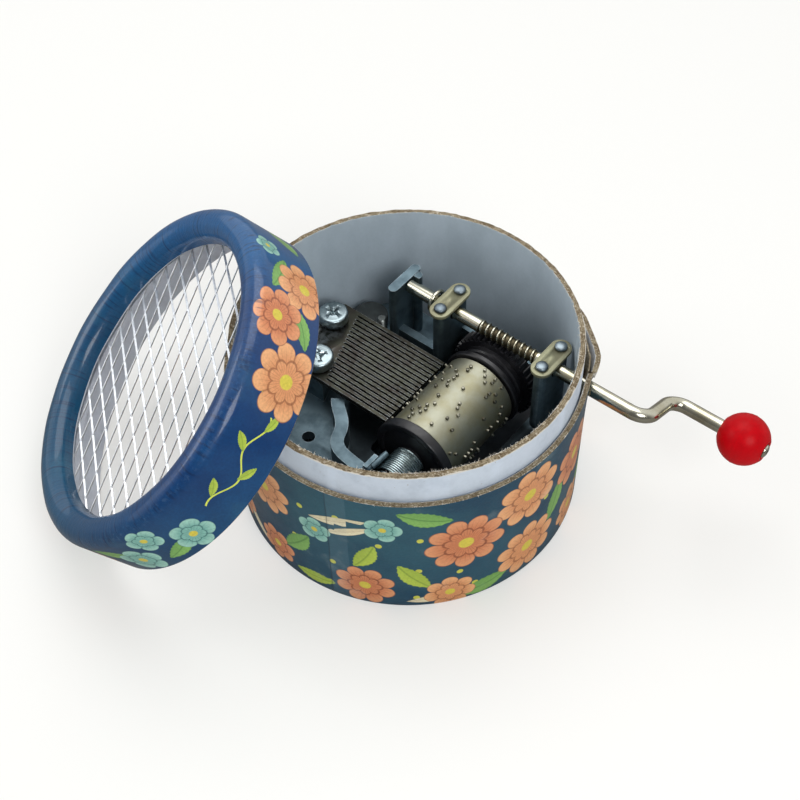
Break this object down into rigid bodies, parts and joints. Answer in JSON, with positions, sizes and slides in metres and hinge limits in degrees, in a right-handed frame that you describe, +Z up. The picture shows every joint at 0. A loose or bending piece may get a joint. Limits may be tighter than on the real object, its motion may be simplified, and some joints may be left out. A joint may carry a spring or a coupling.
{
  "type": "hand crank music box",
  "caption": "Round cardboard music box, open: a worm-driven pinned drum and steel comb played by a side crank, with its mesh lid leaning on it.",
  "frame": {"origin": "centre of the can's underside", "axes": "+Z up out of the can; +X along the crank shaft, towards the knob; +Y towards the shaft's side of the can"},
  "size_m": [0.1348, 0.1016, 0.0601],
  "materials": {
    "printed_paper": "satin",
    "lid_paper": "satin",
    "white_board": "matte",
    "bright_mesh": "satin",
    "zinc_casting": "satin",
    "comb_steel": "satin",
    "nickel": "satin",
    "bright_steel": "gloss",
    "black_plastic": "satin",
    "red_plastic": "gloss",
    "dark_rubber": "matte"
  },
  "bodies": {
    "can": {"can_outer_tube": "printed_paper", "can_inner_tube": "white_board", "can_bottom_board": "white_board", "movement_frame": "zinc_casting", "comb": "comb_steel", "comb_screw_1": "bright_steel", "comb_screw_2": "bright_steel", "brake_spring": "bright_steel", "bearing_strap_left": "nickel", "bearing_strap_right": "nickel", "strap_rivet_left_far": "bright_steel", "strap_rivet_left_near": "bright_steel", "strap_rivet_right_far": "bright_steel", "strap_rivet_right_near": "bright_steel", "damper_disc": "dark_rubber", "adjusting_screw": "bright_steel", "frame_screw_1": "bright_steel", "frame_screw_2": "bright_steel", "frame_screw_3": "bright_steel"},
    "crank": {"crank_rod": "nickel", "shaft_ring": "nickel"},
    "knob": {"crank_knob": "red_plastic"},
    "drum": {"drum_shell": "nickel", "drum_gear": "black_plastic", "drum_end_cap": "black_plastic", "drum_axle": "bright_steel"},
    "lid": {"lid_outer_tube": "lid_paper", "lid_grille": "bright_mesh", "lid_inner_ring": "white_board"}
  },
  "joints": [
    {"name": "crank_turn", "type": "hinge", "parent": "can", "child": "crank", "pos_m": [0, 0.01794, 0.0315], "axis": [-1, 0, 0], "continuous": true},
    {"name": "knob_spin", "type": "hinge", "parent": "crank", "child": "knob", "pos_m": [0.06, 0.02903, 0.02693], "axis": [1, 0, 0], "continuous": true},
    {"name": "drum_spin", "type": "hinge", "parent": "can", "child": "drum", "pos_m": [0.0096, 0, 0.02045], "axis": [0, 1, 0], "continuous": true},
    {"name": "lid_lift", "type": "slide", "parent": "can", "child": "lid", "axis": [-0.4974, -0.4991, 0.7096], "range_m": [0, 0.03]}
  ],
  "couplings": [
    {"joint": "drum_spin", "follows": "crank_turn", "ratio": 0.022727}
  ]
}
